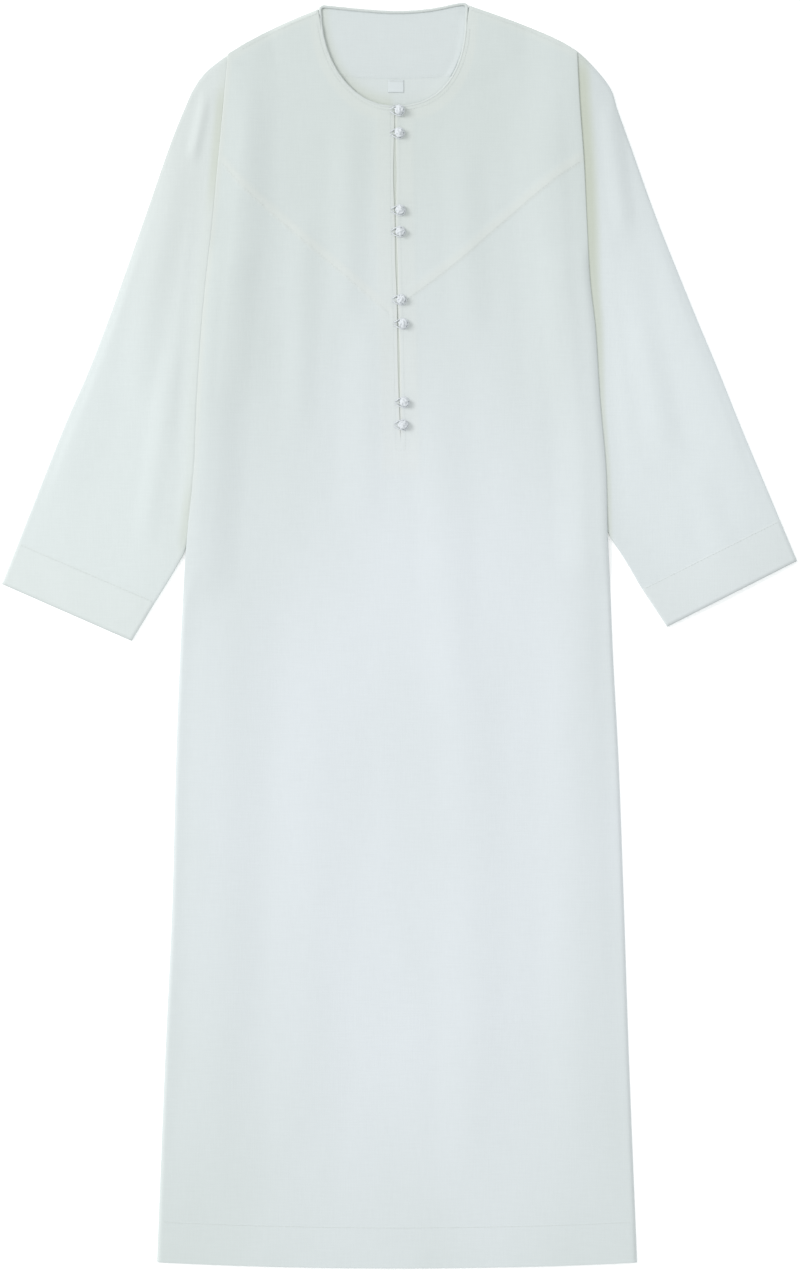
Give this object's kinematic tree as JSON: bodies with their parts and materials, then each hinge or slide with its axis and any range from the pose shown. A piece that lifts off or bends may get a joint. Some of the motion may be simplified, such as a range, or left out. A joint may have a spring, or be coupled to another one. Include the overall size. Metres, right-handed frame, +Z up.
{
  "type": "thobe robe",
  "caption": "Child's long-sleeved ankle-length thobe laid flat: round neck, V-shaped yoke seam, and a front slit closed with knot buttons and cord loops.",
  "frame": {"origin": "middle of the robe's outline, on the surface that it lies on", "axes": "+Z up from the surface, +Y from hem to neck, +X towards the wearer's left sleeve, the right of the picture"},
  "size_m": [0.6614, 1.0524, 0.0116],
  "materials": {
    "robe_cloth": "matt off-white weave with a faint cool tint",
    "facing_cloth": "matt off-white weave",
    "binding_cloth": "matt off-white corded edge",
    "knot_cord": "slightly bluish white corded cloth",
    "label_satin": "plain woven white"
  },
  "bodies": {
    "root": {"back_panel": "robe_cloth", "front_skirt": "robe_cloth", "yoke_right": "robe_cloth", "yoke_left": "robe_cloth", "sleeve_right": "robe_cloth", "sleeve_left": "robe_cloth", "neck_binding": "binding_cloth", "back_neck_facing": "facing_cloth", "size_label": "label_satin", "button_1": "knot_cord", "button_2": "knot_cord", "button_3": "knot_cord", "button_4": "knot_cord", "button_5": "knot_cord", "button_6": "knot_cord", "button_7": "knot_cord", "button_8": "knot_cord", "loop_1": "knot_cord", "loop_2": "knot_cord", "loop_3": "knot_cord", "loop_4": "knot_cord", "loop_5": "knot_cord", "loop_6": "knot_cord", "loop_7": "knot_cord", "loop_8": "knot_cord"}
  },
  "joints": []
}
